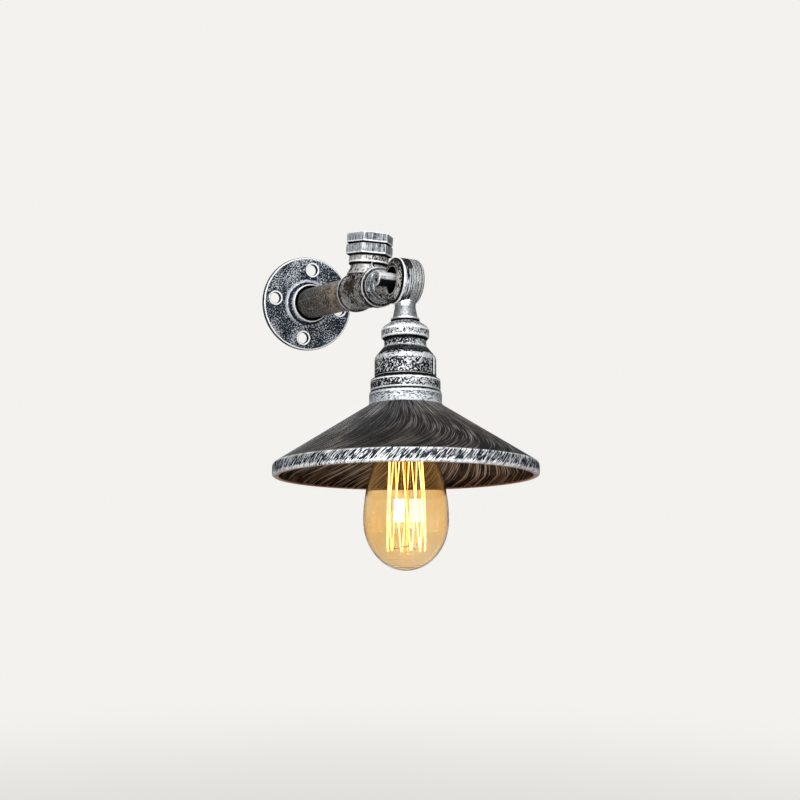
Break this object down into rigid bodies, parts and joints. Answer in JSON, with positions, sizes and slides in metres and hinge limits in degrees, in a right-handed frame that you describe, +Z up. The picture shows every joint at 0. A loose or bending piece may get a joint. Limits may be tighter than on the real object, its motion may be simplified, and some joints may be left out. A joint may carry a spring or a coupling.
{
  "type": "wall light",
  "caption": "Rustic pipe-arm wall light: cast flange, pipe arm with a tee, tilting knuckle, lampholder, conical metal shade and amber filament bulb.",
  "frame": {"origin": "centre of the flange's back face, on the wall", "axes": "+Z up, the arm runs out of the wall along -Y, +X to the right seen from the front"},
  "size_m": [0.2, 0.3258, 0.2646],
  "materials": {
    "antique_iron": "antique grey iron, dry-brushed silver on its edges",
    "brown_iron": "brown-black iron with worn silver edges",
    "bright_iron": "brushed silver over dark iron",
    "black_iron": "black with silver stipple",
    "shade_steel": "black with fine swirling silver strokes, brown inside",
    "gasket": "matt black rubber",
    "fibre": "brown fibre",
    "brass": "plain brass",
    "porcelain": "white glazed porcelain",
    "core_insulation": "coloured insulation",
    "cap_nickel": "rolled brass cap",
    "insulator_glass": "black vitrite",
    "amber_glass": "clear amber glass",
    "mount_glass": "clear glass",
    "support_wire": "drawn wire",
    "filament": "glowing carbon-type filament"
  },
  "bodies": {
    "arm": {"wall_flange": "antique_iron", "arm_pipe": "brown_iron", "pipe_tee": "brown_iron", "branch_bushing": "bright_iron", "plug_gasket": "gasket", "branch_plug": "bright_iron", "front_bushing": "bright_iron", "knuckle_barrel": "antique_iron", "spring_washer": "bright_iron", "arm_wires": "core_insulation"},
    "head": {"swivel_drum": "bright_iron", "friction_washer": "fibre", "stem_nipple": "bright_iron", "stem_locknut": "brass", "holder_cap": "black_iron", "holder_body": "black_iron", "shade_ring": "black_iron", "shade_clamp_ring": "antique_iron", "shade": "shade_steel", "socket_core": "porcelain", "core_retainer": "antique_iron", "socket_shell": "brass", "centre_contact": "brass", "shell_strap": "brass", "terminal_blocks": "brass", "terminal_screws": "brass", "earth_screw": "brass", "stem_wires": "core_insulation"},
    "clamp": {"clamp_bolt": "bright_iron"},
    "bulb": {"bulb_cap": "cap_nickel", "bulb_insulator": "insulator_glass", "bulb_tip": "brass", "bulb_glass": "amber_glass", "bulb_stem": "mount_glass", "bulb_supports": "support_wire", "bulb_filament": "filament"}
  },
  "joints": [
    {"name": "head_tilt", "type": "hinge", "parent": "arm", "child": "head", "pos_m": [0, -0.206, 0], "axis": [0.9986, 0, -0.0523], "range_deg": [-60, 35]},
    {"name": "clamp_turn", "type": "hinge", "parent": "head", "child": "clamp", "pos_m": [0, -0.206, 0], "axis": [0.9986, 0, -0.0523], "range_deg": [-90, 0]},
    {"name": "bulb_unscrew", "type": "slide", "parent": "head", "child": "bulb", "axis": [-0.0518, -0.1392, -0.9889], "range_m": [0, 0.045]}
  ]
}
